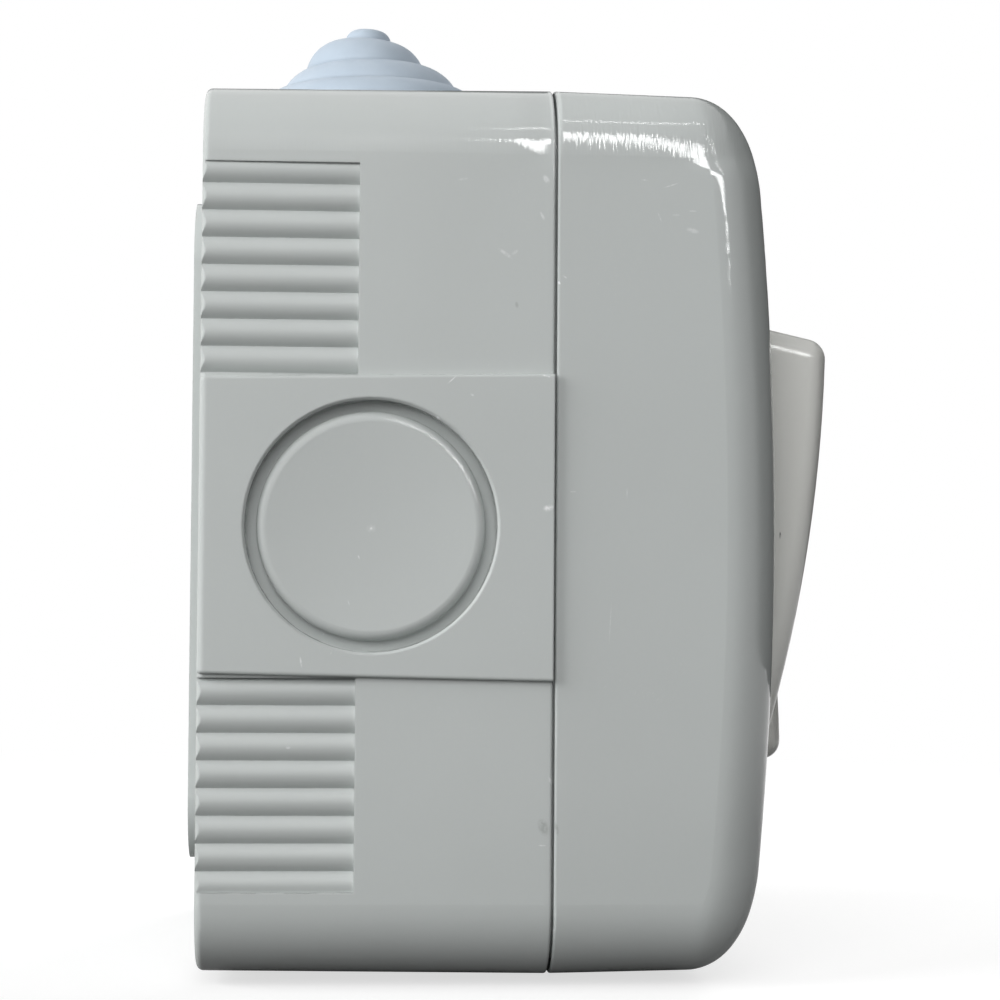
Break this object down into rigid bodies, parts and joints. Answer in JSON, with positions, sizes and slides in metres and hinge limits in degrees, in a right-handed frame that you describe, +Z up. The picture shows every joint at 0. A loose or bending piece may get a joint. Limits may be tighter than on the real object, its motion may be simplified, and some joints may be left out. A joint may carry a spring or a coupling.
{
  "type": "surface double rocker switch",
  "caption": "Surface-mounted double rocker light switch in a moulded box with a domed cover, reeded sides, cable knock-outs and a stepped rubber gland on top.",
  "frame": {"origin": "middle of the two wall-screw slots, on the wall plane behind the box", "axes": "+Z up, +Y into the wall, so the rockers face -Y; +X to the right as seen from the front"},
  "size_m": [0.0672, 0.0558, 0.0873],
  "materials": {
    "grey_plastic": "satin",
    "gland_rubber": "matte",
    "seal_rubber": "matte",
    "insert_plastic": "matte",
    "toggle_plastic": "satin",
    "spring_steel": "bright",
    "contact_brass": "bright",
    "contact_silver": "bright",
    "screw_steel": "zinc plated"
  },
  "bodies": {
    "housing": {"base_box": "grey_plastic", "cable_gland": "gland_rubber", "cover_seal": "seal_rubber", "front_cover": "grey_plastic", "opening_seal": "seal_rubber", "insert_base": "insert_plastic", "insert_housing": "insert_plastic", "common_bar": "contact_brass", "left_output_bar": "contact_brass", "right_output_bar": "contact_brass", "left_fixed_contact": "contact_silver", "right_fixed_contact": "contact_silver", "terminal_clamps": "contact_brass", "terminal_screws": "screw_steel", "insert_screws": "screw_steel", "cover_screws": "screw_steel"},
    "left_rocker_unit": {"left_rocker": "grey_plastic", "left_toggle": "toggle_plastic", "left_plunger_spring": "spring_steel"},
    "left_plunger_unit": {"left_plunger": "toggle_plastic"},
    "left_lever_unit": {"left_contact_lever": "contact_brass", "left_moving_contact": "contact_silver"},
    "right_rocker_unit": {"right_rocker": "grey_plastic", "right_toggle": "toggle_plastic", "right_plunger_spring": "spring_steel"},
    "right_plunger_unit": {"right_plunger": "toggle_plastic"},
    "right_lever_unit": {"right_contact_lever": "contact_brass", "right_moving_contact": "contact_silver"}
  },
  "joints": [
    {"name": "left_rocker_hinge", "type": "hinge", "parent": "housing", "child": "left_rocker_unit", "pos_m": [-0.0114, -0.0439, -0.002], "axis": [1, 0, 0], "range_deg": [-19.6, 0]},
    {"name": "left_lever_hinge", "type": "hinge", "parent": "housing", "child": "left_lever_unit", "pos_m": [-0.0114, -0.02513, -0.002], "axis": [1, 0, 0], "range_deg": [0, 12]},
    {"name": "left_plunger_slide", "type": "slide", "parent": "left_rocker_unit", "child": "left_plunger_unit", "axis": [0, -0.9854, -0.1702], "range_m": [0, 0.0008], "stiffness_N_per_m": 400, "deforming": ["left_plunger_spring"]},
    {"name": "right_rocker_hinge", "type": "hinge", "parent": "housing", "child": "right_rocker_unit", "pos_m": [0.0114, -0.0439, -0.002], "axis": [1, 0, 0], "range_deg": [0, 19.6]},
    {"name": "right_lever_hinge", "type": "hinge", "parent": "housing", "child": "right_lever_unit", "pos_m": [0.0114, -0.02513, -0.002], "axis": [1, 0, 0], "range_deg": [-12, 0]},
    {"name": "right_plunger_slide", "type": "slide", "parent": "right_rocker_unit", "child": "right_plunger_unit", "axis": [0, -0.9854, 0.1702], "range_m": [0, 0.0008], "stiffness_N_per_m": 400, "deforming": ["right_plunger_spring"]}
  ],
  "couplings": [
    {"joint": "left_lever_hinge", "follows": "left_rocker_hinge", "ratio": -0.61224},
    {"joint": "right_lever_hinge", "follows": "right_rocker_hinge", "ratio": -0.61224}
  ]
}
